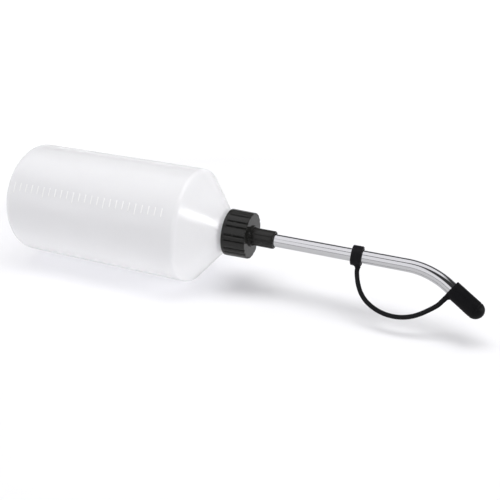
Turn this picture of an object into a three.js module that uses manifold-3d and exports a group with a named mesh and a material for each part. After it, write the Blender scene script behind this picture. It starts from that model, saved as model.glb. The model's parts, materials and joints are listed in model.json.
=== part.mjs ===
// Squeeze filler bottle lying on its side: a plastic bottle, a ribbed screw cap that clamps a swivelling
// spout stem on a gasket, a bent steel spout tube, and a tethered rubber tip cap.
// Millimetres. +X runs along the bottle from base to spout, +Z is up, and the bottle rests on z = 0.
import * as THREE from 'three';
import { mergeVertices } from 'three/addons/utils/BufferGeometryUtils.js';
import Module from 'manifold-3d';

// Stations are distances along +X from the plane of the bottle's foot ring.

const roundSegments = 48;        // facets round the bottle, the cap and the gasket
const smallSegments = 24;        // facets round the tube, the ring and the tip cap
const arcSteps = 5;              // facets along each rounded corner
const clearance = 0.3;           // running or seating gap between two pieces
const sunk = 0.4;                // how far a ridge or root reaches into the wall that carries it

// Bottle.
const bodyRadius = 37.5;
const bottleWall = 1.5;
const neckWall = 1.6;
const footWidth = 4.5;           // flat width of the foot ring
const footSlope = 5;             // width of the slope from the foot ring up to the recessed base
const baseRecess = 2.4;
const cornerRadius = 4;
const shoulderRadius = 3;
const coneAngle = THREE.MathUtils.degToRad(49.9);
const neckStation = 145.9;       // where the cone meets the neck
const neckRadius = 12.4;
const neckHeight = 11.4;
const lipChamfer = 0.4;

// Thread, shared by the neck and the cap.
const threadPitch = 4;
const threadHeight = 1;
const threadRootWidth = 2.2;
const threadCrestWidth = 1.2;
const threadSteps = 32;          // facets in one turn
const threadLeadIn = 3;          // facets over which a ridge rises at each end
const neckThreadRise = 4.6;      // from the neck's foot to the first turn's middle
const neckThreadTurns = 1.25;
const capThreadTurns = 1.5;

// Screw cap.
const capGap = 1.1;              // from the neck's foot to the cap's open edge
const capWall = 1.4;
const capRoof = 1.8;
const capMouthChamfer = 0.5;
const capBaseRing = 1.7;
const ribPairs = 10;             // one broad and one narrow rib in each pair
const ribTurn = THREE.MathUtils.degToRad(28);     // first groove, from +Y towards +Z
const broadRibShare = 0.62;
const ribGrooveDepth = 0.55;
const ribGrooveWidth = 1;
const bossHeight = 1.1;
const bossWall = 0.9;

// Gasket and spout stem.
const sealInset = 0.2;           // the gasket and the flange are this much smaller than the neck
const gasketThickness = 1.2;
const gasketWidth = 3;
const flangeThickness = 1.6;
const stemWall = 1.45;
const stemProud = 15.4;          // from the cap's front face to the stem's outer end
const stemFlutes = 10;
const stemTurn = THREE.MathUtils.degToRad(7.5);   // first groove, in the spout's own frame
const stemGrooveDepth = 0.3;
const stemGrooveWidth = 0.6;
const stemChamfer = 0.6;

// Spout tube: straight, one bend, and a short straight end.
const tubeRadius = 4;
const tubeWall = 0.5;
const tubeBeadHeight = 1;
const tubeBeadLength = 1.3;
const tubeStraight = 82.4;       // from the stem's end to the bend
const bendRadius = 46;
const bendAngle = THREE.MathUtils.degToRad(32.4);
const bendSteps = 10;
const spoutLean = THREE.MathUtils.degToRad(34);   // turn of the bend from straight down towards -Y
const tubeEndLength = 15.5;      // straight length past the bend

// Rubber tip cap, its tether ring and strap.
const tipCapWall = 1;
const tipCapLength = 22.8;
const tipCapSet = 2.5;           // from the end of the bend to the cap's open rim
const tipRootLength = 4;         // length of the strap's root along the cap
const tipRootReach = 3;          // how far the root stands off the cap
const ringSet = 49.3;            // from the stem's end to the ring
const ringLength = 6.3;
const ringWall = 1.9;
const ringRootWidth = 4.8;
const ringRootReach = 1.6;
const ringRootOffset = 1.6;      // the strap's root sits this far past the ring's middle
const strapWidth = 2.8;
const strapThickness = 2;
const strapSides = 8;
const strapSteps = 40;

// Middle of the strap from the ring's root to the cap's root: distance past the ring's near end, and depth
// below the tube's axis.
const strapRoute = [
  [4.8, 9.4], [5.5, 12.4], [6.9, 16.5], [9.1, 20.7], [12.0, 24.3], [15.6, 27.1],
  [20.0, 29.3], [24.8, 30.7], [29.3, 31.2], [33.8, 31.0], [38.3, 30.0], [42.4, 28.4],
  [46.2, 26.1], [50.2, 23.1], [54.1, 19.7],
];

// Sizes that follow from the ones above.
const footRadius = bodyRadius - cornerRadius - footWidth;
const lipStation = neckStation + neckHeight;
const gasketStation = lipStation + clearance;
const flangeStation = gasketStation + gasketThickness + clearance;
const capRoofStation = flangeStation + flangeThickness + clearance;
const capFront = capRoofStation + capRoof;
const capStation = neckStation + capGap;
const capBoreRadius = neckRadius + threadHeight + clearance;
const capRadius = capBoreRadius + capWall;
const sealRadius = neckRadius - sealInset;
const boreForTube = tubeRadius + clearance;
const stemRadius = boreForTube + stemWall;
const stemHoleRadius = stemRadius + clearance;
const stemEnd = capFront + stemProud;
const tubeStation = flangeStation - clearance - tubeBeadLength;
const bendStation = stemEnd + tubeStraight;
const ringStation = stemEnd + ringSet;
const ringRadius = boreForTube + ringWall;
const tipCapRadius = boreForTube + tipCapWall;
const threadDatum = neckStation + neckThreadRise;
const tubeInCap = tubeEndLength - tipCapSet;
const ringMiddle = ringStation + ringLength / 2;

const wasm = await Module();
wasm.setup();

function solidFrom(geometry) {
  const bare = geometry.index ? geometry.toNonIndexed() : geometry.clone();
  bare.deleteAttribute('normal');
  bare.deleteAttribute('uv');
  const merged = mergeVertices(bare);
  return new wasm.Manifold(new wasm.Mesh({
    numProp: 3,
    vertProperties: merged.attributes.position.array,
    triVerts: new Uint32Array(merged.index.array),
  }));
}

function geometryFrom(solid) {
  const { vertProperties, triVerts } = solid.getMesh();
  const geometry = new THREE.BufferGeometry();
  geometry.setAttribute('position', new THREE.BufferAttribute(vertProperties, 3));
  geometry.setIndex(new THREE.BufferAttribute(triVerts, 1));
  geometry.computeVertexNormals();
  return geometry;
}

// A body of revolution about +X. The profile holds [station, radius] pairs, outer wall first, upwards.
function turned(profile, segments = roundSegments) {
  const points = profile.map(([station, radius]) => new THREE.Vector2(radius, station));
  return new THREE.LatheGeometry(points, segments, Math.PI / segments).rotateZ(-Math.PI / 2);
}

function turnedRing(start, end, inner, outer, segments) {
  return turned([[start, inner], [start, outer], [end, outer], [end, inner], [start, inner]], segments);
}

function turnedRod(start, end, radius, segments) {
  return turned([[start, 0], [start, radius], [end, radius], [end, 0]], segments);
}

// An outline in the YZ plane drawn out along +X from one station to another.
function drawnAlongX(shape, start, end) {
  const geometry = new THREE.ExtrudeGeometry(shape, { depth: end - start, bevelEnabled: false });
  const turn = new THREE.Matrix4().makeBasis(
    new THREE.Vector3(0, 1, 0), new THREE.Vector3(0, 0, 1), new THREE.Vector3(1, 0, 0));
  return geometry.applyMatrix4(turn).translate(start, 0, 0);
}

// A flat plate whose outline lies in the XY plane, centred on that plane.
function flatPlate(outline, thickness) {
  const shape = new THREE.Shape(outline.map(([x, y]) => new THREE.Vector2(x, y)));
  const geometry = new THREE.ExtrudeGeometry(shape, { depth: thickness, bevelEnabled: false });
  return geometry.translate(0, 0, -thickness / 2);
}

// Points on a circular arc in a profile, as [station, radius].
function profileArc(station, radius, arcRadius, from, to) {
  return Array.from({ length: arcSteps + 1 }, (_, i) => {
    const angle = from + (to - from) * i / arcSteps;
    return [station + arcRadius * Math.cos(angle), radius + arcRadius * Math.sin(angle)];
  });
}

// A round outline with grooves at the given angles.
function groovedOutline(angles, radius, grooveDepth, grooveWidth) {
  const halfGroove = grooveWidth / 2 / radius;
  const at = (angle, r) => new THREE.Vector2(r * Math.cos(angle), r * Math.sin(angle));
  const points = angles.flatMap((angle, i) => {
    const next = i + 1 < angles.length ? angles[i + 1] : angles[0] + 2 * Math.PI;
    const middle = (angle + next) / 2;
    const shoulder = radius - grooveDepth / 5;
    return [
      at(angle, radius - grooveDepth),
      at(angle + halfGroove, shoulder),
      at(middle, radius),
      at(next - halfGroove, shoulder),
    ];
  });
  return new THREE.Shape(points);
}

// A helical ridge: right-handed, its middle passing through the datum station at angle zero.
function threadRidge(datum, firstTurn, turns, innerRadius, innerWidth, outerRadius, outerWidth) {
  const steps = Math.round(turns * threadSteps);
  const crestInside = innerWidth < outerWidth;
  const ridge = new THREE.BoxGeometry(1, 1, 1, 1, 1, steps);
  const place = ridge.attributes.position;
  for (let i = 0; i < place.count; i += 1) {
    const share = place.getZ(i) + 0.5;
    const fromEnd = Math.min(share, 1 - share) * steps;
    const rise = Math.min(1, (fromEnd + 1) / (threadLeadIn + 1));
    const outside = place.getX(i) > 0;
    const height = (outerRadius - innerRadius) * (1 - rise);
    let radius = outside ? outerRadius : innerRadius;
    if (outside && !crestInside) radius -= height;
    if (!outside && crestInside) radius += height;
    const width = outside ? outerWidth : innerWidth;
    const turn = firstTurn + turns * share;
    const angle = 2 * Math.PI * turn;
    const station = datum + threadPitch * turn - place.getY(i) * width;
    place.setXYZ(i, station, radius * Math.cos(angle), radius * Math.sin(angle));
  }
  return ridge;
}

// One wall surface of the bottle, from the middle of the base to the neck, at a depth under the outside.
function bottleLine(depth, neck) {
  const body = bodyRadius - depth;
  const corner = cornerRadius - depth;
  const fillet = shoulderRadius - depth;
  const cone = (radius) =>
    neckStation - (radius + depth / Math.cos(coneAngle) - neckRadius) / Math.tan(coneAngle);
  const filletStart = cone(body) - fillet * Math.tan(coneAngle / 2);
  return [
    [baseRecess + depth, 0],
    [baseRecess + depth, footRadius - footSlope],
    [depth, footRadius],
    ...profileArc(corner + depth, body - corner, corner, Math.PI, Math.PI / 2),
    ...profileArc(filletStart, body - fillet, fillet, Math.PI / 2, Math.PI / 2 - coneAngle),
    [cone(neck), neck],
  ];
}

function bottle() {
  const neckBore = neckRadius - neckWall;
  const shell = turned([
    ...bottleLine(0, neckRadius),
    [lipStation - lipChamfer, neckRadius],
    [lipStation, neckRadius - lipChamfer],
    [lipStation, neckBore],
    ...bottleLine(bottleWall, neckBore).reverse(),
  ]);
  const thread = threadRidge(threadDatum, 0, neckThreadTurns,
    neckRadius - sunk, threadRootWidth, neckRadius + threadHeight, threadCrestWidth);
  return geometryFrom(solidFrom(shell).add(solidFrom(thread)));
}

function screwCap() {
  const ribAngles = Array.from({ length: ribPairs }, (_, i) => ribTurn + 2 * Math.PI * i / ribPairs)
    .flatMap((angle) => [angle, angle + 2 * Math.PI * broadRibShare / ribPairs]);
  const ribs = groovedOutline(ribAngles, capRadius, ribGrooveDepth, ribGrooveWidth);
  const bossRadius = stemHoleRadius + bossWall;
  const bore = turned([
    [capStation - sunk, 0],
    [capStation - sunk, capBoreRadius + capMouthChamfer + sunk],
    [capStation + capMouthChamfer, capBoreRadius],
    [capRoofStation, capBoreRadius],
    [capRoofStation, 0],
  ]);
  const hole = turnedRod(capRoofStation - sunk, capFront + bossHeight + sunk, stemHoleRadius);
  const crestRadius = neckRadius + clearance;
  const firstTurn = (capStation + threadRootWidth - threadDatum) / threadPitch - 1 / 2;
  const thread = threadRidge(threadDatum + threadPitch / 2, firstTurn, capThreadTurns,
    crestRadius, threadCrestWidth, capBoreRadius + sunk, threadRootWidth);
  return geometryFrom(solidFrom(drawnAlongX(ribs, capStation + sunk, capFront))
    .add(solidFrom(turnedRod(capStation, capStation + capBaseRing, capRadius)))
    .add(solidFrom(turnedRod(capFront - sunk, capFront + bossHeight, bossRadius)))
    .subtract(solidFrom(bore))
    .subtract(solidFrom(hole))
    .add(solidFrom(thread)));
}

function capGasket() {
  return turnedRing(gasketStation, gasketStation + gasketThickness, sealRadius - gasketWidth, sealRadius);
}

// The sleeve that carries the tube. Its flange is clamped between the cap's roof and the gasket.
function spoutStem() {
  const grooveAngles = Array.from({ length: stemFlutes },
    (_, i) => stemTurn + 2 * Math.PI * i / stemFlutes);
  const flutes = groovedOutline(grooveAngles, stemRadius, stemGrooveDepth, stemGrooveWidth);
  const shankEnd = capFront + bossHeight + clearance;
  const envelope = turned([
    [flangeStation, 0],
    [flangeStation, stemRadius + sunk],
    [stemEnd - stemChamfer, stemRadius + sunk],
    [stemEnd, stemRadius - stemChamfer],
    [stemEnd, 0],
  ]);
  const bore = turnedRod(flangeStation - sunk, stemEnd + sunk, boreForTube, smallSegments);
  return geometryFrom(solidFrom(drawnAlongX(flutes, shankEnd - sunk, stemEnd))
    .add(solidFrom(turnedRod(flangeStation, shankEnd, stemRadius)))
    .intersect(solidFrom(envelope))
    .add(solidFrom(turnedRod(flangeStation, flangeStation + flangeThickness, sealRadius)))
    .subtract(solidFrom(bore)));
}

// Middle line of the tube in the plane of its bend. The straights take one step each, the bend the rest.
class SpoutLine extends THREE.Curve {
  getPoint(t) {
    const step = t * (bendSteps + 2);
    if (step < 1) return new THREE.Vector3(THREE.MathUtils.lerp(tubeStation, bendStation, step), 0, 0);
    const angle = bendAngle * Math.min(1, (step - 1) / bendSteps);
    const straight = tubeEndLength * Math.max(0, step - 1 - bendSteps);
    return new THREE.Vector3(
      bendStation + bendRadius * Math.sin(angle) + straight * Math.cos(angle),
      bendRadius * (1 - Math.cos(angle)) + straight * Math.sin(angle),
      0);
  }

  getUtoTmapping(u) {
    return u;
  }
}

function spoutTube() {
  const swept = (radius) => new THREE.ExtrudeGeometry(
    new THREE.Shape(new THREE.Path().absarc(0, 0, radius, 0, 2 * Math.PI)
      .getSpacedPoints(smallSegments).slice(0, -1)),
    { steps: bendSteps + 2, bevelEnabled: false, extrudePath: new SpoutLine() });
  const bead = turned([
    [tubeStation, 0],
    [tubeStation, tubeRadius],
    [tubeStation + tubeBeadLength / 4, tubeRadius + tubeBeadHeight],
    [tubeStation + tubeBeadLength, tubeRadius + tubeBeadHeight],
    [tubeStation + tubeBeadLength, 0],
  ], smallSegments);
  return geometryFrom(solidFrom(swept(tubeRadius))
    .add(solidFrom(bead))
    .subtract(solidFrom(swept(tubeRadius - tubeWall))));
}

// The ring grips the tube, and its root carries the strap on the side of the bend.
function tetherRing() {
  const rootMiddle = ringMiddle + ringRootOffset;
  const root = flatPlate([
    [ringStation + ringLength - ringRootWidth, ringRadius - sunk],
    [ringStation + ringLength, ringRadius - sunk],
    [rootMiddle + strapWidth / 2, ringRadius + ringRootReach],
    [rootMiddle - strapWidth / 2, ringRadius + ringRootReach],
  ], strapThickness);
  const ring = turnedRing(ringStation, ringStation + ringLength, boreForTube, ringRadius, smallSegments);
  return geometryFrom(solidFrom(ring).add(solidFrom(root)));
}

// Where the tip cap's rim is in the bend's plane, and a point given in the cap's own frame.
const rimMiddle = new THREE.Vector2(
  bendStation + bendRadius * Math.sin(bendAngle) + tipCapSet * Math.cos(bendAngle),
  bendRadius * (1 - Math.cos(bendAngle)) + tipCapSet * Math.sin(bendAngle));

function fromTipCap(x, y) {
  return new THREE.Vector2(x, y).rotateAround(new THREE.Vector2(), bendAngle).add(rimMiddle);
}

function tetherStrap() {
  const start = [ringMiddle + ringRootOffset, ringRadius + ringRootReach + clearance];
  const end = fromTipCap(strapWidth / 2, tipCapRadius + tipRootReach + clearance);
  const hanging = strapRoute.map(([past, depth]) => [ringStation + past, depth]);
  const route = [start, ...hanging, [end.x, end.y]].map(([x, y]) => new THREE.Vector3(x, y, 0));
  const section = new THREE.Shape(Array.from({ length: strapSides }, (_, i) => {
    const angle = 2 * Math.PI * (i + 1 / 2) / strapSides;
    return new THREE.Vector2(Math.cos(angle), Math.sin(angle))
      .multiply(new THREE.Vector2(strapThickness / 2, strapWidth / 2))
      .divideScalar(Math.cos(Math.PI / strapSides));
  }));
  return new THREE.ExtrudeGeometry(section,
    { steps: strapSteps, bevelEnabled: false, extrudePath: new THREE.CatmullRomCurve3(route) });
}

// The tip cap in its own frame: rim at zero, +X along the tube's end, root on the +Y side.
function tipCap() {
  const domeStart = tipCapLength - tipCapRadius;
  const body = turned([
    [tubeInCap + clearance, 0],
    [tubeInCap + clearance, boreForTube],
    [0, boreForTube],
    [0, tipCapRadius],
    ...profileArc(domeStart, 0, tipCapRadius, Math.PI / 2, 0),
  ], smallSegments);
  const root = flatPlate([
    [0, tipCapRadius - sunk],
    [tipRootLength, tipCapRadius - sunk],
    [strapWidth, tipCapRadius + tipRootReach],
    [0, tipCapRadius + tipRootReach],
  ], strapThickness);
  return geometryFrom(solidFrom(body).add(solidFrom(root)));
}

const milkyPlastic = new THREE.MeshStandardMaterial({ color: 0xe6e6ec, roughness: 0.45, metalness: 0 });
const blackPlastic = new THREE.MeshStandardMaterial({ color: 0x0d0d0c, roughness: 0.25, metalness: 0 });
const stemPlastic = new THREE.MeshStandardMaterial({ color: 0x100f0e, roughness: 0.3, metalness: 0 });
const gasketRubber = new THREE.MeshStandardMaterial({ color: 0x6f6f6c, roughness: 0.8, metalness: 0 });
const chromedSteel = new THREE.MeshStandardMaterial({ color: 0xd9d9de, roughness: 0.08, metalness: 1 });
const ringRubber = new THREE.MeshStandardMaterial({ color: 0x151417, roughness: 0.55, metalness: 0 });
const strapRubber = new THREE.MeshStandardMaterial({ color: 0x131215, roughness: 0.5, metalness: 0 });
const tipRubber = new THREE.MeshStandardMaterial({ color: 0x17161b, roughness: 0.5, metalness: 0 });

function named(name, geometry, material) {
  const mesh = new THREE.Mesh(geometry, material);
  mesh.name = name;
  return mesh;
}

const tipCapGroup = new THREE.Group();
tipCapGroup.position.set(rimMiddle.x, rimMiddle.y, 0);
tipCapGroup.rotation.z = bendAngle;
tipCapGroup.add(named('tip_cap', tipCap(), tipRubber));

// The spout's own frame: +X along the bottle, +Y towards the inside of the bend.
const spoutGroup = new THREE.Group();
spoutGroup.rotation.x = -(Math.PI / 2 + spoutLean);
spoutGroup.add(
  named('spout_stem', spoutStem(), stemPlastic),
  named('spout_tube', spoutTube(), chromedSteel),
  named('tether_ring', tetherRing(), ringRubber),
  named('tether_strap', tetherStrap(), strapRubber),
  tipCapGroup,
);

const lyingBottle = new THREE.Group();
lyingBottle.add(
  named('bottle', bottle(), milkyPlastic),
  named('screw_cap', screwCap(), blackPlastic),
  named('cap_gasket', capGasket(), gasketRubber),
  spoutGroup,
);

// The origin is the middle of the length, on the surface that the bottle lies on.
const box = new THREE.Box3().setFromObject(lyingBottle, true);
lyingBottle.position.set(-(box.min.x + box.max.x) / 2, -(box.min.y + box.max.y) / 2, -box.min.z);

const fillerBottle = new THREE.Group();
fillerBottle.add(lyingBottle);

export default fillerBottle;
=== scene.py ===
import json
import math

import bmesh
import bpy
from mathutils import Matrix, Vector


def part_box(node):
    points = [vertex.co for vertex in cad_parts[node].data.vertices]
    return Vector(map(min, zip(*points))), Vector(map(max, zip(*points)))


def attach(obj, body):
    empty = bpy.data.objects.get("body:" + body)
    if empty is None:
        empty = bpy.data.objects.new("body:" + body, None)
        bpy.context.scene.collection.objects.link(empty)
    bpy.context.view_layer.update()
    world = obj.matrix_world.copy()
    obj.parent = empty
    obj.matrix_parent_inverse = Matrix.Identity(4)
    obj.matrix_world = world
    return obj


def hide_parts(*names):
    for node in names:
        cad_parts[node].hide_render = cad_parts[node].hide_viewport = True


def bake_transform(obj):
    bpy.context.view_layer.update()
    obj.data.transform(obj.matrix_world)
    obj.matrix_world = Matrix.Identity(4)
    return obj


# A squeeze filler bottle on a pale floor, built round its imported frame. Piece sizes are in millimetres.
# A station is a distance along the bottle's axis from the plane of its foot ring.

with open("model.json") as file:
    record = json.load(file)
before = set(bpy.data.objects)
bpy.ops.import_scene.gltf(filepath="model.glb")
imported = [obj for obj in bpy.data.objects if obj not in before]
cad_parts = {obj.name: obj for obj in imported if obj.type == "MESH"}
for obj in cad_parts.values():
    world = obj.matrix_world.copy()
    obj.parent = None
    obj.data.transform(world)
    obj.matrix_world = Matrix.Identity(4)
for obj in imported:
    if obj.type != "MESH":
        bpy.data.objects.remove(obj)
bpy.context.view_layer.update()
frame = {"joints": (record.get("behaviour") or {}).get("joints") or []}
mm = 0.001

bottleLow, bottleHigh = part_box("bottle")
footX = bottleLow.x
bottleAxis = Vector((0, (bottleLow.y + bottleHigh.y) / 2, (bottleLow.z + bottleHigh.z) / 2))
bottleRadius = (bottleHigh.z - bottleLow.z) / 2 / mm

pullJoint = next(joint for joint in frame["joints"] if joint["name"] == "tip_cap_pull")
tipAxis = Vector(pullJoint["axis"]).normalized()
bendAngle = math.acos(tipAxis.x)
alongX = Vector((1, 0, 0))
bendSide = Vector((0, tipAxis.y, tipAxis.z)).normalized()
leafSide = alongX.cross(bendSide)


# The stations where a piece starts and ends.
def reachOf(node):
    low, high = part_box(node)
    return (low.x - footX) / mm, (high.x - footX) / mm


lipStation = reachOf("bottle")[1]
capStart, capEnd = reachOf("screw_cap")
gasketStart = reachOf("cap_gasket")[0]
stemStart, stemEnd = reachOf("spout_stem")
tubeStart = reachOf("spout_tube")[0]
ringStart = reachOf("tether_ring")[0]


# Camera.
cameraValues = {
    "place": (0.137548, -0.333112, 0.233831),
    "tilt": 59.93,
    "turn": 21.33,
    "lens": 46.08,
}


def makeCamera(values):
    data = bpy.data.cameras.new("camera")
    data.lens = values["lens"]
    data.sensor_width = 36
    data.clip_start = 0.01
    data.clip_end = 50
    camera = bpy.data.objects.new("camera", data)
    camera.location = values["place"]
    camera.rotation_euler = (math.radians(values["tilt"]), 0, math.radians(values["turn"]))
    bpy.context.scene.collection.objects.link(camera)
    bpy.context.scene.camera = camera


makeCamera(cameraValues)
print("camera ready")


# Lines that pieces are turned about. Each gives the origin and three directions at a distance.
def bottleLine(station):
    origin = Vector((footX + station * mm, 0, 0)) + bottleAxis
    return origin, alongX, bendSide, leafSide


spoutValues = {
    "start": tubeStart,
    "bend": tubeStart + 103.1,
    "bendRadius": 46,
    "endLength": 15.5,
}


def spoutLine(distance):
    straight = spoutValues["bend"] - spoutValues["start"]
    turn = min(max((distance - straight) / spoutValues["bendRadius"], 0), bendAngle)
    bendLength = spoutValues["bendRadius"] * bendAngle
    before = min(distance, straight)
    after = max(distance - straight - bendLength, 0)
    along = before + spoutValues["bendRadius"] * math.sin(turn) + after * math.cos(turn)
    depth = spoutValues["bendRadius"] * (1 - math.cos(turn)) + after * math.sin(turn)
    origin = bottleLine(spoutValues["start"] + along)[0] + bendSide * depth * mm
    forward = alongX * math.cos(turn) + bendSide * math.sin(turn)
    inward = bendSide * math.cos(turn) - alongX * math.sin(turn)
    return origin, forward, inward, leafSide


def spoutLength():
    straight = spoutValues["bend"] - spoutValues["start"]
    return straight + spoutValues["bendRadius"] * bendAngle + spoutValues["endLength"]


# The tip cap's rim sits a little way past the end of the bend.
tipValues = {
    "set": 2.5,
    "radius": 5.3,
    "length": 22.8,
    "bore": 4.3,
    "socket": 13.3,
    "rimRound": 0.35,
    "lineDepth": 0.22,
    "lineWidth": 0.6,
    "rootLength": 4,
    "rootReach": 3,
    "domeSteps": 16,
}


def tipLine(distance):
    rim = spoutLength() - spoutValues["endLength"] + tipValues["set"]
    origin, forward, inward, side = spoutLine(rim)
    return origin + forward * distance * mm, forward, inward, side


# Mesh makers.
def smoothPiece(name, mesh):
    mesh.shade_smooth()
    piece = bpy.data.objects.new(name, mesh)
    bpy.context.scene.collection.objects.link(piece)
    return piece


def meshObject(name, verts, faces):
    mesh = bpy.data.meshes.new(name)
    mesh.from_pydata([tuple(v) for v in verts], [], faces)
    mesh.validate()
    bm = bmesh.new()
    bm.from_mesh(mesh)
    bmesh.ops.recalc_face_normals(bm, faces=bm.faces)
    bm.to_mesh(mesh)
    bm.free()
    return smoothPiece(name, mesh)


# Joins rings of points into a skin. A ring of one point is a pole. A looped skin closes on its first ring.
def skinned(name, rings, looped=False):
    verts = []
    starts = []
    for ring in rings:
        starts.append(len(verts))
        verts.extend(ring)
    faces = []
    pairs = list(zip(range(len(rings) - 1), range(1, len(rings))))
    if looped:
        pairs.append((len(rings) - 1, 0))
    for a, b in pairs:
        count = max(len(rings[a]), len(rings[b]))
        for i in range(count):
            j = (i + 1) % count
            corners = [starts[a] + i % len(rings[a]), starts[a] + j % len(rings[a])]
            corners += [starts[b] + j % len(rings[b]), starts[b] + i % len(rings[b])]
            faces.append(list(dict.fromkeys(corners)))
    if not looped:
        for ring, start in ((rings[0], starts[0]), (rings[-1], starts[-1])):
            if len(ring) > 1:
                faces.append(list(range(start, start + len(ring))))
    return meshObject(name, verts, faces)


# Rounds the corners of a profile. Each corner is (station, radius, rounding).
def rounded(corners, steps=5, looped=False):
    points = []
    count = len(corners)
    for i, (station, radius, rounding) in enumerate(corners):
        here = Vector((station, radius))
        inside = looped or 0 < i < count - 1
        if not inside or rounding <= 0:
            points.append((station, radius))
            continue
        toLast = Vector(corners[i - 1][:2]) - here
        toNext = Vector(corners[(i + 1) % count][:2]) - here
        a = toLast.normalized()
        b = toNext.normalized()
        half = math.acos(max(-1, min(1, a.dot(b)))) / 2
        cut = min(rounding / math.tan(half), toLast.length * 0.49, toNext.length * 0.49)
        centre = here + (a + b).normalized() * cut / math.cos(half)
        first = here + a * cut - centre
        last = here + b * cut - centre
        sweep = first.angle_signed(last)
        for k in range(steps + 1):
            turn = -sweep * k / steps
            x = first.x * math.cos(turn) - first.y * math.sin(turn)
            y = first.x * math.sin(turn) + first.y * math.cos(turn)
            points.append((centre.x + x, centre.y + y))
    return points


# A ring of points at one place of a line. The reach is a radius or a function of the angle.
def ringAt(line, station, reach, segments):
    origin, _, first, second = line(station)
    if not callable(reach) and reach <= 1e-6:
        return [origin]
    ring = []
    for i in range(segments):
        angle = 2 * math.pi * i / segments
        radius = reach(angle) if callable(reach) else reach
        ring.append(origin + (first * math.cos(angle) + second * math.sin(angle)) * radius * mm)
    return ring


def turned(name, profile, segments, line=bottleLine, looped=False):
    return skinned(name, [ringAt(line, s, r, segments) for s, r in profile], looped)


# A raised helical ridge of rounded section, fading out at both ends.
def helicalRidge(name, values):
    root = values["root"]
    crest = values["crest"]
    steps = round(values["turns"] * values["stepsPerTurn"])
    rings = []
    for k in range(steps + 1):
        share = k / steps
        turn = values["firstTurn"] + values["turns"] * share
        angle = 2 * math.pi * turn + values["phase"]
        rise = math.sin(math.pi / 2 * min(1, values["fadeRate"] * min(share, 1 - share) + 0.04))
        top = root + (crest - root) * rise
        half = (root + top) / 2
        section = list(zip((root, half, top), values["halfWidths"]))
        middle = values["datum"] + values["pitch"] * turn
        ring = []
        for reach, across in [(reach, -wide) for reach, wide in section] + section[::-1]:
            origin, _, first, second = bottleLine(middle + across)
            ring.append(origin + (first * math.cos(angle) + second * math.sin(angle)) * reach * mm)
        rings.append(ring)
    return skinned(name, rings)


def roundedSection(halfWide, halfThick, rounding, perCorner=4):
    points = []
    for cx, cy, start in ((1, 1, 0), (-1, 1, 1), (-1, -1, 2), (1, -1, 3)):
        for k in range(perCorner + 1):
            angle = math.pi / 2 * (start + k / perCorner)
            x = cx * (halfWide - rounding) + rounding * math.cos(angle)
            y = cy * (halfThick - rounding) + rounding * math.sin(angle)
            points.append((x, y))
    return points


# A root of rounded section that narrows outwards. Levels are (reach, from, to, thickness).
def flaredRoot(name, line, levels, rounding):
    rings = []
    for reach, near, far, thick in levels:
        origin, forward, inward, side = line((near + far) / 2)
        section = roundedSection((far - near) / 2, thick / 2, rounding)
        rings.append([origin + (inward * reach + forward * x + side * y) * mm for x, y in section])
    return skinned(name, rings)


# Gathers separate pieces into one new piece.
def joined(name, pieces):
    bm = bmesh.new()
    for piece in pieces:
        bm.from_mesh(piece.data)
        bpy.data.objects.remove(piece)
    mesh = bpy.data.meshes.new(name)
    bm.to_mesh(mesh)
    bm.free()
    return smoothPiece(name, mesh)


# Unites pieces into the first one and removes the rest.
def united(piece, *others):
    for other in others:
        join = piece.modifiers.new("join", "BOOLEAN")
        join.operation = "UNION"
        join.solver = "EXACT"
        join.object = other
    shaped = piece.evaluated_get(bpy.context.evaluated_depsgraph_get())
    mesh = bpy.data.meshes.new_from_object(shaped)
    piece.modifiers.clear()
    piece.data = mesh
    mesh.shade_smooth()
    for other in others:
        bpy.data.objects.remove(other)
    return piece


def steadyNormals(piece):
    normals = piece.modifiers.new("normals", "WEIGHTED_NORMAL")
    normals.weight = 60
    normals.keep_sharp = True


# Gives a piece its material and its body, and hides the imported nodes that it stands for.
def fitted(piece, body, slot, material, *replaced):
    piece.data.materials.clear()
    piece.data.materials.append(material)
    steadyNormals(piece)
    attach(piece, body)
    if replaced:
        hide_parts(*replaced)
    print("made", piece.name)


# Shared shader groups.
def newGroup(name, inputs, outputs):
    group = bpy.data.node_groups.new(name, "ShaderNodeTree")
    for label, kind, value in inputs:
        socket = group.interface.new_socket(label, in_out="INPUT", socket_type=kind)
        socket.default_value = value
    for label, kind in outputs:
        group.interface.new_socket(label, in_out="OUTPUT", socket_type=kind)
    start = group.nodes.new("NodeGroupInput")
    end = group.nodes.new("NodeGroupOutput")
    return group, start, end


def addNode(tree, kind, **settings):
    node = tree.nodes.new(kind)
    for key, value in settings.items():
        setattr(node, key, value)
    return node


# Gives an input its value, which is another node's output or a plain value.
def feed(tree, socket, value):
    if hasattr(value, "links"):
        tree.links.new(value, socket)
    else:
        socket.default_value = value


# A number worked out by one Math node.
def maths(tree, operation, *values, clamp=False):
    node = addNode(tree, "ShaderNodeMath", operation=operation, use_clamp=clamp)
    for socket, value in zip(node.inputs, values):
        feed(tree, socket, value)
    return node.outputs[0]


def noiseAt(tree, scale, detail, roughness=0.5, stretch=None):
    place = addNode(tree, "ShaderNodeTexCoord").outputs["Object"]
    if stretch:
        shaped = addNode(tree, "ShaderNodeMapping")
        shaped.inputs["Scale"].default_value = stretch
        tree.links.new(place, shaped.inputs["Vector"])
        place = shaped.outputs["Vector"]
    node = addNode(tree, "ShaderNodeTexNoise")
    tree.links.new(place, node.inputs["Vector"])
    feed(tree, node.inputs["Scale"], scale)
    node.inputs["Detail"].default_value = detail
    node.inputs["Roughness"].default_value = roughness
    return node.outputs["Fac"]


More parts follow.
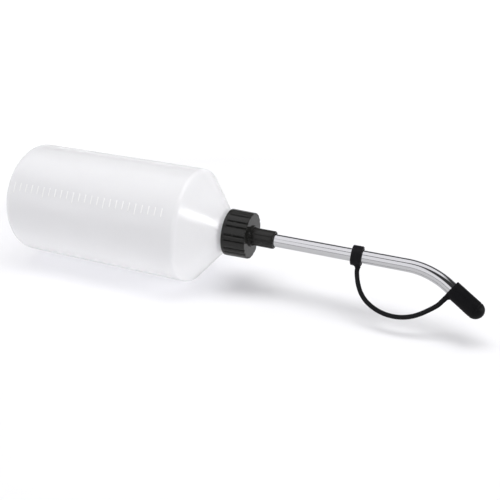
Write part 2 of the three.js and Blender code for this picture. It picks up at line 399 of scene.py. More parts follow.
# Fine moulded grain: a height for bump and an even value for colour and roughness.
def makeGrainGroup():
    group, start, end = newGroup(
        "mouldedGrain",
        [("Scale", "NodeSocketFloat", 900), ("Contrast", "NodeSocketFloat", 1)],
        [("Height", "NodeSocketFloat"), ("Value", "NodeSocketFloat")],
    )
    fine = noiseAt(group, start.outputs["Scale"], 3, 0.6)
    broad = noiseAt(group, maths(group, "MULTIPLY", start.outputs["Scale"], 0.06), 2)
    centred = maths(group, "SUBTRACT", fine, 0.5)
    height = maths(group, "MULTIPLY", centred, start.outputs["Contrast"])
    mixed = maths(group, "MULTIPLY_ADD", centred, 0.35, broad)
    group.links.new(height, end.inputs["Height"])
    group.links.new(mixed, end.inputs["Value"])
    return group


# Hairline scratches, as a mask that is mostly empty.
def makeScratchGroup():
    group, start, end = newGroup(
        "fineScratches",
        [("Scale", "NodeSocketFloat", 220), ("Amount", "NodeSocketFloat", 0.5)],
        [("Mask", "NodeSocketFloat")],
    )
    masks = []
    for stretch in ((0.06, 1, 1), (1, 0.08, 0.9), (0.5, 1.2, 0.07)):
        value = noiseAt(group, start.outputs["Scale"], 1.5, 0.5, stretch)
        line = maths(group, "ABSOLUTE", maths(group, "SUBTRACT", value, 0.5))
        thin = maths(group, "SUBTRACT", 1, maths(group, "MULTIPLY", line, 90), clamp=True)
        where = maths(group, "SUBTRACT", noiseAt(group, 60, 1, 0.5, stretch), 0.54)
        masks.append(maths(group, "MULTIPLY", thin, maths(group, "MULTIPLY", where, 12, clamp=True)))
    both = maths(group, "ADD", masks[0], masks[1], clamp=True)
    every = maths(group, "ADD", both, masks[2], clamp=True)
    result = maths(group, "MULTIPLY", every, start.outputs["Amount"], clamp=True)
    group.links.new(result, end.inputs["Mask"])
    return group


# Rubbed edges, found where the surface is sharply convex and broken up by noise.
def makeWearGroup():
    group, start, end = newGroup(
        "rubbedEdges",
        [("Pointiness", "NodeSocketFloat", 0.5), ("Reach", "NodeSocketFloat", 0.52),
         ("Amount", "NodeSocketFloat", 0.6)],
        [("Mask", "NodeSocketFloat")],
    )
    over = maths(group, "SUBTRACT", start.outputs["Pointiness"], start.outputs["Reach"])
    edge = maths(group, "MULTIPLY", over, 16, clamp=True)
    broken = maths(group, "MULTIPLY_ADD", noiseAt(group, 700, 4, 0.7), 1.6, -0.35, clamp=True)
    result = maths(group, "MULTIPLY", maths(group, "MULTIPLY", edge, broken), start.outputs["Amount"])
    group.links.new(result, end.inputs["Mask"])
    return group


# A thin film of settled dust on what faces up, with a few specks.
def makeDustGroup():
    group, start, end = newGroup(
        "settledDust",
        [("Amount", "NodeSocketFloat", 0.2)],
        [("Mask", "NodeSocketFloat")],
    )
    facing = addNode(group, "ShaderNodeNewGeometry").outputs["Normal"]
    split = addNode(group, "ShaderNodeSeparateXYZ")
    group.links.new(facing, split.inputs["Vector"])
    up = maths(group, "MULTIPLY_ADD", split.outputs["Z"], 0.7, 0.3, clamp=True)
    film = maths(group, "MULTIPLY_ADD", noiseAt(group, 140, 3, 0.6), 1.4, -0.3, clamp=True)
    overSpeck = maths(group, "SUBTRACT", noiseAt(group, 2600, 1), 0.7)
    specks = maths(group, "MULTIPLY", overSpeck, 14, clamp=True)
    settled = maths(group, "MULTIPLY", maths(group, "MULTIPLY_ADD", film, 0.35, specks), up)
    result = maths(group, "MULTIPLY", settled, start.outputs["Amount"], clamp=True)
    group.links.new(result, end.inputs["Mask"])
    return group


grainGroup = makeGrainGroup()
scratchGroup = makeScratchGroup()
wearGroup = makeWearGroup()
dustGroup = makeDustGroup()
print("shader groups ready")


# Materials.
def newMaterial(name):
    material = bpy.data.materials.new(name)
    material.use_nodes = True
    return material, material.node_tree, material.node_tree.nodes["Principled BSDF"]


def placeGroup(tree, group, **values):
    node = addNode(tree, "ShaderNodeGroup", node_tree=group)
    for label, value in values.items():
        feed(tree, node.inputs[label], value)
    return node


# Mixes two colours, each a colour output or three plain numbers.
def mixColours(tree, mask, under, over):
    node = addNode(tree, "ShaderNodeMix", data_type="RGBA")
    feed(tree, node.inputs["Factor"], mask)
    for place, value in ((6, under), (7, over)):
        feed(tree, node.inputs[place], value if hasattr(value, "links") else (*value, 1))
    return node.outputs[2]


# The wear mask of a material's own mesh edges.
def edgeWear(tree, reach, amount):
    pointiness = addNode(tree, "ShaderNodeNewGeometry").outputs["Pointiness"]
    return placeGroup(tree, wearGroup, Pointiness=pointiness, Reach=reach, Amount=amount).outputs["Mask"]


def bumped(tree, shader, height, strength, distance):
    bump = addNode(tree, "ShaderNodeBump")
    bump.inputs["Strength"].default_value = strength
    bump.inputs["Distance"].default_value = distance
    tree.links.new(height, bump.inputs["Height"])
    tree.links.new(bump.outputs["Normal"], shader.inputs["Normal"])


# The bottle's plastic, and its strokes' plastic. The strokes are the same plastic, painted lighter and with
# little scatter: a painted highlight for the light the raised strokes catch.
milkyValues = {
    "colour": (0.905, 0.905, 0.93),
    "cloud": (0.89, 0.89, 0.92),
    "scored": (0.93, 0.93, 0.94),
    "rubbed": (0.95, 0.95, 0.95),
    "roughness": 0.22,
    "scatter": 0.85,
    "scatterReach": 0.006,
    "grainScale": 420,
    "scratches": 0.06,
    "wear": 0.2,
}
# Painted highlight: the strokes' colour is lighter than the wall's, standing in for the light their raised
# tops catch.
markHighlightValues = {
    **milkyValues,
    "colour": (0.955, 0.955, 0.955),
    "cloud": (0.945, 0.945, 0.945),
    "roughness": 0.3,
    "scatter": 0.05,
    "scatterReach": 0.001,
    "scratches": 0,
}


def milkyPlastic(name, values):
    material, tree, shader = newMaterial(name)
    grain = placeGroup(tree, grainGroup, Scale=values["grainScale"], Contrast=1)
    scratches = placeGroup(tree, scratchGroup, Scale=90, Amount=values["scratches"]).outputs["Mask"]
    wear = edgeWear(tree, 0.53, values["wear"])
    cloudy = maths(tree, "MULTIPLY_ADD", grain.outputs["Value"], 1.2, -0.2, clamp=True)
    colour = mixColours(tree, cloudy, values["colour"], values["cloud"])
    colour = mixColours(tree, scratches, colour, values["scored"])
    colour = mixColours(tree, wear, colour, values["rubbed"])
    feed(tree, shader.inputs["Base Color"], colour)
    rough = maths(tree, "MULTIPLY_ADD", grain.outputs["Value"], 0.06, values["roughness"] - 0.03)
    rough = maths(tree, "MULTIPLY_ADD", scratches, 0.25, rough)
    feed(tree, shader.inputs["Roughness"], rough)
    feed(tree, shader.inputs["Subsurface Weight"], values["scatter"])
    feed(tree, shader.inputs["Subsurface Radius"], (1, 1, 1))
    feed(tree, shader.inputs["Subsurface Scale"], values["scatterReach"])
    feed(tree, shader.inputs["IOR"], 1.5)
    height = maths(tree, "MULTIPLY_ADD", scratches, -0.3, grain.outputs["Height"])
    bumped(tree, shader, height, 0.05, 0.0001)
    return material


milky = milkyPlastic("milky_plastic", milkyValues)
markPaintedHighlight = milkyPlastic("mark_plastic_painted_highlight", markHighlightValues)


# The glossy plastic of the cap and the stem.
capBlackValues = {
    "colour": (0.008, 0.008, 0.007),
    "deep": (0.011, 0.011, 0.010),
    "rubbed": (0.09, 0.09, 0.088),
    "scored": (0.05, 0.05, 0.05),
    "dusty": (0.3, 0.29, 0.27),
    "roughness": 0.2,
    "shine": 0.4,
    "grainScale": 1600,
    "scratches": 0.2,
    "wear": 0.3,
    "dust": 0.02,
    "bump": 0.1,
}
stemBlackValues = {
    **capBlackValues,
    "colour": (0.009, 0.009, 0.008),
    "deep": (0.013, 0.012, 0.011),
    "shine": 0.34,
    "grainScale": 1900,
    "scratches": 0.15,
    "bump": 0.08,
}


def blackPlastic(name, values):
    material, tree, shader = newMaterial(name)
    grain = placeGroup(tree, grainGroup, Scale=values["grainScale"], Contrast=1)
    scratches = placeGroup(tree, scratchGroup, Scale=260, Amount=values["scratches"]).outputs["Mask"]
    wear = edgeWear(tree, 0.54, values["wear"])
    dust = placeGroup(tree, dustGroup, Amount=values["dust"]).outputs["Mask"]
    colour = mixColours(tree, grain.outputs["Value"], values["colour"], values["deep"])
    colour = mixColours(tree, wear, colour, values["rubbed"])
    colour = mixColours(tree, scratches, colour, values["scored"])
    colour = mixColours(tree, dust, colour, values["dusty"])
    feed(tree, shader.inputs["Base Color"], colour)
    rough = maths(tree, "MULTIPLY_ADD", grain.outputs["Value"], 0.1, values["roughness"] - 0.05)
    rough = maths(tree, "MULTIPLY_ADD", scratches, 0.3, rough)
    rough = maths(tree, "MULTIPLY_ADD", dust, 0.4, rough)
    feed(tree, shader.inputs["Roughness"], rough)
    feed(tree, shader.inputs["IOR"], 1.5)
    feed(tree, shader.inputs["Specular IOR Level"], values["shine"])
    bumped(tree, shader, grain.outputs["Height"], values["bump"], 0.00008)
    return material


capBlack = blackPlastic("cap_black", capBlackValues)
stemBlack = blackPlastic("stem_black", stemBlackValues)


# The rubber of the tip cap, ring, strap and gasket.
tipBlackValues = {
    "colour": (0.004, 0.004, 0.005),
    "bloom": (0.006, 0.006, 0.007),
    "rubbed": (0.07, 0.07, 0.072),
    "dusty": (0.25, 0.245, 0.24),
    "roughness": 0.46,
    "shine": 0.1,
    "grainScale": 1300,
    "wear": 0.3,
    "dust": 0.03,
    "bump": 0.2,
}
ringBlackValues = {
    **tipBlackValues,
    "colour": (0.005, 0.005, 0.006),
    "bloom": (0.008, 0.007, 0.009),
    "roughness": 0.5,
    "shine": 0.14,
    "grainScale": 1500,
}
strapBlackValues = {
    **tipBlackValues,
    "colour": (0.005, 0.005, 0.006),
    "bloom": (0.008, 0.008, 0.009),
    "roughness": 0.44,
    "shine": 0.18,
    "grainScale": 1700,
    "wear": 0.2,
    "dust": 0.02,
    "bump": 0.15,
}
gasketGreyValues = {
    **tipBlackValues,
    "colour": (0.16, 0.16, 0.155),
    "bloom": (0.2, 0.2, 0.19),
    "roughness": 0.75,
    "shine": 0.4,
    "grainScale": 1500,
    "wear": 0.2,
    "dust": 0.05,
}


def mouldedRubber(name, values):
    material, tree, shader = newMaterial(name)
    grain = placeGroup(tree, grainGroup, Scale=values["grainScale"], Contrast=1)
    wear = edgeWear(tree, 0.53, values["wear"])
    dust = placeGroup(tree, dustGroup, Amount=values["dust"]).outputs["Mask"]
    bloom = maths(tree, "MULTIPLY_ADD", noiseAt(tree, 260, 4, 0.65), 2.4, -0.8, clamp=True)
    colour = mixColours(tree, bloom, values["colour"], values["bloom"])
    colour = mixColours(tree, wear, colour, values["rubbed"])
    colour = mixColours(tree, dust, colour, values["dusty"])
    feed(tree, shader.inputs["Base Color"], colour)
    rough = maths(tree, "MULTIPLY_ADD", grain.outputs["Value"], 0.16, values["roughness"] - 0.08)
    feed(tree, shader.inputs["Roughness"], rough)
    feed(tree, shader.inputs["IOR"], 1.48)
    feed(tree, shader.inputs["Specular IOR Level"], values["shine"])
    bumped(tree, shader, grain.outputs["Height"], values["bump"], 0.0001)
    return material


tipBlack = mouldedRubber("tip_rubber_black", tipBlackValues)
ringBlack = mouldedRubber("ring_rubber_black", ringBlackValues)
strapBlack = mouldedRubber("strap_rubber_black", strapBlackValues)
gasketGrey = mouldedRubber("gasket_rubber_grey", gasketGreyValues)


# The tube's bright plated steel.
chromeValues = {
    "colour": (0.80, 0.80, 0.815),
    "shade": (0.74, 0.74, 0.76),
    "dusty": (0.6, 0.6, 0.58),
    "roughness": 0.045,
    "grainScale": 1500,
    "scratches": 0.4,
    "dust": 0.03,
    "bump": 0.04,
}


def chromedSteel(name, values):
    material, tree, shader = newMaterial(name)
    grain = placeGroup(tree, grainGroup, Scale=values["grainScale"], Contrast=1)
    scratches = placeGroup(tree, scratchGroup, Scale=420, Amount=values["scratches"]).outputs["Mask"]
    dust = placeGroup(tree, dustGroup, Amount=values["dust"]).outputs["Mask"]
    drawn = noiseAt(tree, 900, 2, 0.5, (0.02, 1, 1))
    colour = mixColours(tree, drawn, values["colour"], values["shade"])
    colour = mixColours(tree, dust, colour, values["dusty"])
    feed(tree, shader.inputs["Base Color"], colour)
    feed(tree, shader.inputs["Metallic"], 1)
    rough = maths(tree, "MULTIPLY_ADD", drawn, 0.03, values["roughness"] - 0.015)
    rough = maths(tree, "MULTIPLY_ADD", scratches, 0.12, rough)
    rough = maths(tree, "MULTIPLY_ADD", dust, 0.3, rough)
    feed(tree, shader.inputs["Roughness"], rough)
    height = maths(tree, "MULTIPLY_ADD", grain.outputs["Height"], 0.15, maths(tree, "MULTIPLY", drawn, 0.3))
    bumped(tree, shader, height, values["bump"], 0.00003)
    return material


chrome = chromedSteel("chromed_steel", chromeValues)
print("materials ready")


# Tether strap, a free cord from the ring's root to the tip cap's root.
ringValues = {
    "station": ringStart,
    "length": 6.3,
    "radius": 6.2,
    "bore": 4.3,
    "rounding": 0.45,
    "rootWidth": 4.8,
    "rootReach": 1.6,
    "rootOffset": 1.6,
}
strapValues = {
    "width": 2.8,
    "thickness": 2.0,
    "rounding": 0.75,
    "clearance": 0.3,
    "length": 0.069,  # in metres
    "steps": 6,
}

# Middle of the strap: distance past the ring's near end, and depth below the tube's axis.
strapRoute = [
    (4.8, 9.4), (5.5, 12.4), (6.9, 16.5), (9.1, 20.7), (12.0, 24.3), (15.6, 27.1),
    (20.0, 29.3), (24.8, 30.7), (29.3, 31.2), (33.8, 31.0), (38.3, 30.0), (42.4, 28.4),
    (46.2, 26.1), (50.2, 23.1), (54.1, 19.7),
]


# A smooth curve through the given points.
def smoothPath(points, steps):
    padded = [points[0] * 2 - points[1], *points, points[-1] * 2 - points[-2]]
    path = []
    for i in range(1, len(padded) - 2):
        p0, p1, p2, p3 = padded[i - 1:i + 3]
        for k in range(steps):
            t = k / steps
            even = 2 * p1 + (p2 - p0) * t + (2 * p0 - 5 * p1 + 4 * p2 - p3) * t ** 2
            path.append((even + (3 * p1 - p0 - 3 * p2 + p3) * t ** 3) / 2)
    path.append(points[-1])
    return path


def makeStrap(values, ring, route):
    rootMiddle = ring["station"] + ring["length"] / 2 + ring["rootOffset"]
    start = bottleLine(rootMiddle)[0]
    start = start + bendSide * (ring["radius"] + ring["rootReach"] + values["clearance"]) * mm
    origin, forward, inward, _ = tipLine(values["width"] / 2)
    end = origin + inward * (tipValues["radius"] + tipValues["rootReach"] + values["clearance"]) * mm
    middle = [bottleLine(ring["station"] + past)[0] + bendSide * depth * mm for past, depth in route]
    path = smoothPath([start, *middle, end], values["steps"])
    section = roundedSection(values["width"] / 2, values["thickness"] / 2, values["rounding"])
    rings = []
    for i, point in enumerate(path):
        along = (path[min(i + 1, len(path) - 1)] - path[max(i - 1, 0)]).normalized()
        across = leafSide.cross(along)
        rings.append([point + (across * x + leafSide * y) * mm for x, y in section])
    strap = skinned("tether_strap_loop", rings)
    strap.data.materials.append(strapBlack)
    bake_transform(strap)
    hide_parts("tether_strap")
    print("made", strap.name)


makeStrap(strapValues, ringValues, strapRoute)


# Bottle: one skin for the outside, the inside and the neck.
bodyValues = {
    "wall": 1.5,
    "corner": 4,
    "footWidth": 4.5,
    "footSlope": 5,
    "recess": 2.4,
    "shoulderRound": 4,
    "coneAngle": 49.9,
    "neckStation": lipStation - 11.4,
    "neckRadius": 12.4,
    "neckWall": 1.6,
    "lipRound": 0.4,
    "segments": 192,
}


# The corners of one face of the wall, from the middle of the base to the neck.
def bottleProfile(values, depth, neck):
    body = bottleRadius - depth
    slope = math.tan(math.radians(values["coneAngle"]))
    lean = depth / math.cos(math.radians(values["coneAngle"]))
    foot = bottleRadius - values["corner"] - values["footWidth"]
    coneFoot, coneTop = (
        values["neckStation"] - (radius + lean - values["neckRadius"]) / slope for radius in (body, neck)
    )
    return [
        (values["recess"] + depth, 0, 0),
        (values["recess"] + depth, foot - values["footSlope"], 2.5),
        (depth, foot, 1.5),
        (depth, body, values["corner"] - depth),
        (coneFoot, body, values["shoulderRound"] - depth),
        (coneTop, neck, 1.2),
    ]


# Rings are added along the long straight stretches, so that no face is very long.
def spaced(profile, longest):
    points = [profile[0]]
    for point in profile[1:]:
        last = Vector(points[-1])
        reach = (Vector(point) - last).length
        count = max(1, math.ceil(reach / longest))
        points += [tuple(last.lerp(Vector(point), k / count)) for k in range(1, count + 1)]
    return points


def makeBottle(values):
    bore = values["neckRadius"] - values["neckWall"]
    outer = bottleProfile(values, 0, values["neckRadius"])
    inner = bottleProfile(values, values["wall"], bore)
    corners = [
        *outer,
        (lipStation, values["neckRadius"], values["lipRound"]),
        (lipStation, bore, values["lipRound"]),
        *reversed(inner),
    ]
    profile = spaced(rounded(corners, 8), 8)
    return turned("bottle_shell", profile, values["segments"])


# The thread's turns are counted from the side that faces +Y.
neckThreadValues = {
    "pitch": 4,
    "datum": lipStation - 6.8,
    "phase": math.atan2(leafSide.y, bendSide.y),
    "firstTurn": 0,
    "turns": 1.25,
    "stepsPerTurn": 96,
    "root": 12.0,
    "crest": 13.4,
    "halfWidths": (1.1, 0.85, 0.6),
    "fadeRate": 14,
}
markValues = {
    "first": 6.9,
    "spacing": 4.52,
    "count": 25,
    "every": 5,
    "angle": 140,
    "short": 8.5,
    "long": 11,
    "width": 0.6,
    "height": 0.17,
    "steps": 10,
    "section": ((-0.5, -0.3), (-0.42, 0.25), (-0.22, 0.85), (0.22, 0.85), (0.42, 0.25), (0.5, -0.3)),
}


# Raised measuring strokes on the side of the body, longer at each fifth.
def makeMarks(values):
    pieces = []
    for i in range(values["count"]):
        station = values["first"] + values["spacing"] * i
        sweep = values["long"] if i % values["every"] == 0 else values["short"]
        rings = []
        for k in range(values["steps"] + 1):
            share = k / values["steps"]
            angle = math.radians(values["angle"] + sweep * share)
            outward = Vector((0, math.cos(angle), math.sin(angle)))
            fadeIn = max(share * 6, 0.05)
            fadeOut = (1 - share) * 6 + 0.05
            rise = values["height"] * math.sin(math.pi / 2 * min(1, fadeIn, fadeOut))
            ring = []
            for across, up in values["section"]:
                radius = bottleRadius + (rise * up if up > 0 else up)
                origin = bottleLine(station + across * values["width"])[0]
                ring.append(origin + outward * radius * mm)
            rings.append(ring)
        pieces.append(skinned("mark", rings))
    return joined("moulded_marks", pieces)


shell = united(makeBottle(bodyValues), helicalRidge("neck_thread", neckThreadValues))
fitted(shell, "bottle", "bottle_plastic", milky, "bottle")
fitted(makeMarks(markValues), "bottle", "bottle_plastic", markPaintedHighlight)


# Screw cap.
capValues = {
    "start": capStart,
    "front": capEnd - 1.1,
    "radius": 15.08,
    "frontRadius": 14.85,
    "bore": 13.7,
    "roof": 1.8,
    "baseRing": 1.7,
    "pairs": 10,
    "broadShare": 0.62,
    "ribTurn": 28,
    "grooveDepth": 0.9,
    "grooveWidth": 1.6,
    "crown": 0.28,
    "bossHeight": 1.1,
    "bossWall": 0.9,
    "hole": 6.05,
    "bands": 8,
    "segments": 480,
}
capThreadValues = {
    **neckThreadValues,
    "datum": capStart + 5.5,
    "firstTurn": -0.825,
    "turns": 1.5,
    "root": 14.0,
    "crest": 12.75,
}


# How deep the surface lies below its outer radius at an angle: narrow grooves between crowned ribs.
def ribDepth(values, radius, angle, grooves):
    degrees = math.degrees(angle) % 360
    below = [start for start in grooves if start <= degrees]
    near = below[-1] if below else grooves[-1] - 360
    above = [start for start in grooves if start > degrees]
    far = above[0] if above else grooves[0] + 360
    width = math.radians(far - near) * radius
    fromNear = math.radians(degrees - near) * radius
    gap = min(fromNear, width - fromNear)
    groove = 0
    if gap < values["grooveWidth"] / 2:
        groove = (0.5 + 0.5 * math.cos(2 * math.pi * gap / values["grooveWidth"])) * values["grooveDepth"]
    side = abs(2 * fromNear / width - 1)
    return groove + values["crown"] * side ** 2


# Angles on the cap are measured from +Y towards +Z, and ring angles from the spout's bend side.
def fromRingAngle(angle):
    direction = bendSide * math.cos(angle) + leafSide * math.sin(angle)
    return math.atan2(direction.z, direction.y)


def ribbed(values, radius, share, grooves):
    return lambda angle: radius - share * ribDepth(values, radius, fromRingAngle(angle), grooves)


# The outside runs from the open edge over the ribs to the front face, and the inside runs back.
# Outside rings are (station, radius, share of the rib depth).
def makeCap(values):
    grooves = []
    step = 360 / values["pairs"]
    for k in range(values["pairs"]):
        for offset in (0, step * values["broadShare"]):
            grooves.append((values["ribTurn"] + k * step + offset) % 360)
    grooves.sort()
    start = values["start"]
    front = values["front"]
    radius = values["radius"]
    edge = values["frontRadius"]
    ringEnd = start + values["baseRing"]
    outside = [
        (start, values["bore"] + 0.55, 0), (start, radius - 0.35, 0),
        (start + 0.06, radius - 0.13, 0), (start + 0.3, radius, 0),
        (ringEnd - 0.1, radius, 0), (ringEnd + 0.1, radius, 0.15),
        (ringEnd + 0.4, radius - 0.02, 0.75), (ringEnd + 0.8, radius - 0.02, 1),
    ]
    ribStart = ringEnd + 0.8
    ribEnd = front - 0.45
    for k in range(1, values["bands"] + 1):
        share = k / values["bands"]
        station = ribStart + (ribEnd - ribStart) * share
        outside.append((station, radius - 0.02 + (edge - radius) * share, 1))
    outside += [
        (front - 0.2, edge - 0.06, 1), (front - 0.06, edge - 0.18, 1), (front, edge - 0.38, 1),
        (front, edge - 0.8, 0.6), (front, edge - 1.4, 0),
    ]
    rings = [ringAt(bottleLine, s, ribbed(values, r, share, grooves), values["segments"])
             for s, r, share in outside]
    boss = values["hole"] + values["bossWall"]
    inside = rounded([
        (front, edge - 2, 0), (front, boss, 0.25), (front + values["bossHeight"], boss, 0.3),
        (front + values["bossHeight"], values["hole"], 0.2),
        (front - values["roof"], values["hole"], 0.2),
        (front - values["roof"], values["bore"], 0.4),
        (start + 0.5, values["bore"], 0.1), (start + 0.1, values["bore"] + 0.45, 0),
    ])
    rings += [ringAt(bottleLine, s, r, values["segments"]) for s, r in inside]
    return skinned("ribbed_cap", rings, looped=True)


fitted(makeCap(capValues), "cap", "cap_plastic", capBlack, "screw_cap")
fitted(helicalRidge("cap_thread", capThreadValues), "cap", "cap_plastic", capBlack)


# Gasket.
gasketValues = {"start": gasketStart, "thickness": 1.2, "inner": 9.2, "outer": 12.18, "rounding": 0.25}


def makeGasket(values):
    end = values["start"] + values["thickness"]
    soft = values["rounding"]
    corners = [
        (values["start"], values["inner"], soft), (values["start"], values["outer"], soft),
        (end, values["outer"], soft), (end, values["inner"], soft),
    ]
    return turned("lip_gasket", rounded(corners, 4, looped=True), 128, looped=True)


fitted(makeGasket(gasketValues), "gasket", "gasket_rubber", gasketGrey, "cap_gasket")


# Spout stem.
stemValues = {
    "flange": stemStart,
    "flangeThick": 1.6,
    "flangeRadius": 12.18,
    "radius": 5.75,
    "end": stemEnd,
    "flutesFrom": capEnd + 0.5,
    "flutes": 10,
    "fluteTurn": 27.5,
    "grooveDepth": 0.32,
    "grooveWidth": 0.8,
    "crown": 0.08,
    "bore": 4.3,
    "bands": 6,
    "segments": 320,
}


def makeStem(values):
    step = 360 / values["flutes"]
    grooves = sorted((values["fluteTurn"] + k * step) % 360 for k in range(values["flutes"]))
    radius = values["radius"]
    start = values["flange"]
    flangeEnd = start + values["flangeThick"]
    end = values["end"]
    foot = rounded([
        (start, values["bore"], 0), (start, values["flangeRadius"], 0.2),
        (flangeEnd, values["flangeRadius"], 0.2), (flangeEnd, radius, 0.4),
        (values["flutesFrom"], radius, 0),
    ])
    rings = [ringAt(bottleLine, s, r, values["segments"]) for s, r in foot]
    fluteStart = values["flutesFrom"] + 0.8
    fluteEnd = end - 0.7
    fluted = [(values["flutesFrom"] + 0.3, radius, 0.5), (fluteStart, radius, 1)]
    for k in range(1, values["bands"] + 1):
        fluted.append((fluteStart + (fluteEnd - fluteStart) * k / values["bands"], radius, 1))
    fluted += [
        (end - 0.42, radius - 0.14, 0.9), (end - 0.16, radius - 0.38, 0.6),
        (end - 0.03, radius - 0.62, 0.3), (end, radius - 0.9, 0),
    ]
    rings += [ringAt(bottleLine, s, ribbed(values, r, share, grooves), values["segments"])
              for s, r, share in fluted]
    inside = [(end, values["bore"] + 0.2), (end - 0.2, values["bore"]), (start + 0.2, values["bore"])]
    rings += [ringAt(bottleLine, s, r, values["segments"]) for s, r in inside]
    return skinned("fluted_stem", rings, looped=True)


fitted(makeStem(stemValues), "spout", "stem_plastic", stemBlack, "spout_stem")


# Spout tube.
tubeValues = {
    "radius": 4,
    "wall": 0.5,
    "beadRadius": 5,
    "beadLength": 1.3,
    "lipRound": 0.2,
    "step": 1.5,
    "segments": 96,
}


def makeTube(values):
    end = spoutLength()
    radius = values["radius"]
    bore = radius - values["wall"]
    lip = values["lipRound"]
    bead = values["beadRadius"]
    beadEnd = values["beadLength"]
    corners = [
        (0, bore, lip), (0, bead - 0.4, 0.4), (beadEnd / 3, bead, 0.3), (beadEnd, bead, 0.4),
        (beadEnd + 0.3, radius, 0.3), (end, radius, lip), (end, bore, lip),
    ]
    profile = rounded(corners, 4, looped=True)
    profile = spaced([*profile, profile[0]], values["step"])[:-1]
    return turned("bent_tube", profile, values["segments"], spoutLine, looped=True)


fitted(makeTube(tubeValues), "spout", "tube_metal", chrome, "spout_tube")


# Tether ring.
def makeRing(values, strap):
    start = values["station"]
    end = start + values["length"]
    radius = values["radius"]
    soft = values["rounding"]
    corners = [
        (start, values["bore"], 0.15), (start, radius, soft),
        (end, radius, soft), (end, values["bore"], 0.15),
    ]
    body = turned("tube_ring", rounded(corners, 5, looped=True), 96, looped=True)
    middle = start + values["length"] / 2 + values["rootOffset"]
    base = end - values["rootWidth"]
    reach = radius + values["rootReach"] + strap["clearance"]
    near = middle - strap["width"] / 2
    far = middle + strap["width"] / 2
    levels = [
        (radius - 0.8, base, end - 0.1, 2.6), (radius - 0.1, base + 0.1, end - 0.15, 2.5),
        (radius + 0.35, near - 0.75, far + 0.35, 2.2), (radius + 0.8, near - 0.35, far + 0.15, 2.05),
        (reach - 0.3, near, far, strap["thickness"]), (reach + 0.2, near, far, strap["thickness"]),
    ]
    return united(body, flaredRoot("ring_root", bottleLine, levels, 0.6))


fitted(makeRing(ringValues, strapValues), "spout", "ring_rubber", ringBlack, "tether_ring")


# Tip cap.
def makeTipCap(values, strap):
    radius = values["radius"]
    bore = values["bore"]
    soft = values["rimRound"]
    dome = values["length"] - radius
    line = values["lineWidth"] / 2
    lineAt = dome + 0.1
    profile = rounded([
        (values["socket"], 0, 0), (values["socket"], bore, 0.6), (0, bore, soft), (0, radius, soft),
        (lineAt - line - 0.15, radius, 0),
    ])
    profile += [
        (lineAt - line, radius - 0.02), (lineAt - line / 2, radius - values["lineDepth"]),
        (lineAt, radius - values["lineDepth"]), (lineAt + line, radius - 0.03),
    ]
    for k in range(1, values["domeSteps"]):
        turn = math.pi / 2 * (0.06 + 0.94 * k / values["domeSteps"])
        profile.append((dome + radius * math.sin(turn), radius * math.cos(turn)))
    profile.append((values["length"], 0))
    body = turned("rubber_tip", spaced(profile, 2.5), 96, tipLine)
    reach = radius + values["rootReach"] + strap["clearance"]
    root = values["rootLength"]
    levels = [
        (radius - 0.8, 0.1, root + 0.4, 2.8), (radius - 0.1, 0.05, root, 2.6),
        (radius + 0.5, 0.02, root - 0.6, 2.3), (radius + 1.2, 0, root - 1.1, 2.1),
        (radius + 2, 0, strap["width"] + 0.15, strap["thickness"]),
        (reach + 0.2, 0, strap["width"], strap["thickness"]),
    ]
    return united(body, flaredRoot("tip_root", tipLine, levels, 0.6))


fitted(makeTipCap(tipValues, strapValues), "tip_cap", "tip_rubber", tipBlack, "tip_cap")


# Floor, light and surroundings.
stageValues = {
    "floorSize": 12,
    "floorDrop": 0.0001,
    "floorColour": (0.86, 0.86, 0.87),
    "cloud": (0.84, 0.84, 0.85),
    "seenGlow": 0,
    "farGlow": 0.5,
    "otherGlow": 0.26,
    "reflectedShade": 0.6,
}


def makeFloor(values):
    half = values["floorSize"] / 2
    corners = [(-half, -half), (half, -half), (half, half), (-half, half)]
    floor = meshObject("floor", [(x, y, -values["floorDrop"]) for x, y in corners], [(0, 1, 2, 3)])
    material, tree, shader = newMaterial("pale_floor")
    cloudy = maths(tree, "MULTIPLY", noiseAt(tree, 3, 2), 0.3)
    colour = mixColours(tree, cloudy, values["floorColour"], values["cloud"])
    path = addNode(tree, "ShaderNodeLightPath").outputs
    reflected = maths(tree, "MULTIPLY", path["Is Glossy Ray"], values["reflectedShade"])
    feed(tree, shader.inputs["Base Color"], mixColours(tree, reflected, colour, (0, 0, 0)))
    feed(tree, shader.inputs["Roughness"], 0.9)
    feed(tree, shader.inputs["Specular IOR Level"], 0.1)
    feed(tree, shader.inputs["Emission Color"], (1, 1, 1, 1))
    away = addNode(tree, "ShaderNodeVectorMath", operation="LENGTH")
    feed(tree, away.inputs[0], addNode(tree, "ShaderNodeTexCoord").outputs["Object"])
    far = maths(tree, "MULTIPLY_ADD", away.outputs["Value"], 3, -0.66, clamp=True)
    seen = maths(tree, "MULTIPLY_ADD", far, values["farGlow"], values["seenGlow"] - values["otherGlow"])
    glow = maths(tree, "MULTIPLY_ADD", path["Is Camera Ray"], seen, values["otherGlow"])
    feed(tree, shader.inputs["Emission Strength"], glow)
    floor.data.materials.append(material)


lightValues = {
    "overhead": {
        "place": (-0.02, 0.06, 1.15), "aim": (0, 0, 0), "size": (1.2, 0.5), "power": 5.2,
        "reflected": False, "passes": False,
    },
    "through": {
        "place": (-0.02, 0.06, 1.15), "aim": (0, 0, 0), "size": (1.2, 0.5), "power": 3.4,
        "reflected": False, "passes": True,
    },
    "front": {
        "place": (-0.35, -1.5, 0.55), "aim": (0, 0, 0.05), "size": (1.2, 0.6), "power": 0.8,
        "reflected": False, "passes": False,
    },
    "end": {
        "place": (1.0, 0.0, 0.34), "aim": (0, 0, 0.06), "size": (0.32, 0.2), "power": 2.4,
        "reflected": True, "passes": False,
    },
}


# Milky plastic lets part of the light through, so one light is not blocked by the body.
def passedCollection(name, piece):
    passed = bpy.data.collections.new(name + "_passes")
    passed.objects.link(piece)
    passed.collection_objects[0].light_linking.link_state = "EXCLUDE"
    return passed


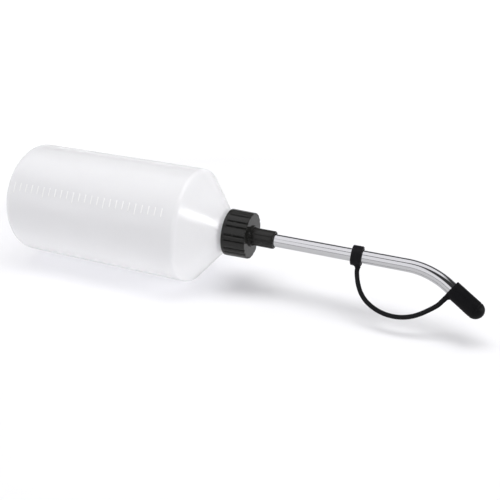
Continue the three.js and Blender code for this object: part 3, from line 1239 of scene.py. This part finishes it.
def makeLight(name, values):
    data = bpy.data.lights.new(name, "AREA")
    data.shape = "RECTANGLE"
    data.size, data.size_y = values["size"]
    data.energy = values["power"]
    light = bpy.data.objects.new(name, data)
    light.location = values["place"]
    aim = Vector(values["aim"]) - light.location
    light.rotation_euler = aim.to_track_quat("-Z", "Y").to_euler()
    light.visible_camera = False
    light.visible_glossy = values["reflected"]
    if values["passes"]:
        light.light_linking.blocker_collection = passedCollection(name, shell)
    bpy.context.scene.collection.objects.link(light)


# Levels are strengths. Edges are parts of the direction in which a reflection looks.
surroundValues = {
    "tint": (0.98, 0.975, 1, 1),
    "room": 0.6,
    "beyond": 1.1,
    "dark": 0.05,
    "overhead": 0.95,
    "front": 0.9,
    "low": 0.8,
    "overheadEdges": (-0.27, 0.72, 0.42),
    "frontEdges": (-0.52, 0.02, 0.07),
    "lowEdges": (0.15, -0.1),
    "overheadLean": -0.75,
}


# Rises from 0 to 1 where a value passes a limit. A falling one goes from 1 to 0.
def pastLimit(tree, value, limit, softness, falling=False):
    slope = -1 / softness if falling else 1 / softness
    return maths(tree, "MULTIPLY_ADD", value, slope, 0.5 - limit * slope, clamp=True)


def allOf(tree, *masks):
    whole = masks[0]
    for mask in masks[1:]:
        whole = maths(tree, "MULTIPLY", whole, mask)
    return whole


# The room lights evenly. Its reflection shows two softboxes, a bright low wall and dark gaps between them.
def makeSurroundings(values):
    world = bpy.data.worlds.new("studio")
    bpy.context.scene.world = world
    world.use_nodes = True
    tree = world.node_tree
    background = tree.nodes["Background"]
    direction = addNode(tree, "ShaderNodeTexCoord").outputs["Generated"]
    split = addNode(tree, "ShaderNodeSeparateXYZ")
    tree.links.new(direction, split.inputs["Vector"])
    x, y, z = (split.outputs[label] for label in "XYZ")
    across = maths(tree, "MULTIPLY_ADD", x, values["overheadLean"], y)
    nearSide, lowest, farEnd = values["overheadEdges"]
    overhead = allOf(
        tree, pastLimit(tree, across, nearSide, 0.03), pastLimit(tree, z, lowest, 0.03),
        pastLimit(tree, x, farEnd, 0.1, falling=True),
    )
    farSide, farEnd, lowest = values["frontEdges"]
    front = allOf(
        tree, pastLimit(tree, y, farSide, 0.03, falling=True),
        pastLimit(tree, x, farEnd, 0.05, falling=True), pastLimit(tree, z, lowest, 0.03),
    )
    highest, nearSide = values["lowEdges"]
    low = allOf(tree, pastLimit(tree, z, highest, 0.05, falling=True), pastLimit(tree, y, nearSide, 0.2))
    total = values["dark"]
    for mask, level in ((overhead, values["overhead"]), (front, values["front"]), (low, values["low"])):
        total = maths(tree, "MULTIPLY_ADD", mask, level - values["dark"], total)
    path = addNode(tree, "ShaderNodeLightPath").outputs
    gap = maths(tree, "SUBTRACT", total, values["room"])
    room = maths(tree, "MULTIPLY_ADD", path["Is Glossy Ray"], gap, values["room"])
    rest = maths(tree, "SUBTRACT", values["beyond"], room)
    strength = maths(tree, "MULTIPLY_ADD", path["Is Camera Ray"], rest, room)
    feed(tree, background.inputs["Strength"], strength)
    feed(tree, background.inputs["Color"], values["tint"])


makeFloor(stageValues)
for lightName, oneLight in lightValues.items():
    makeLight(lightName + "_softbox", oneLight)
makeSurroundings(surroundValues)
bpy.context.scene.view_settings.view_transform = "Standard"
print("stage ready")
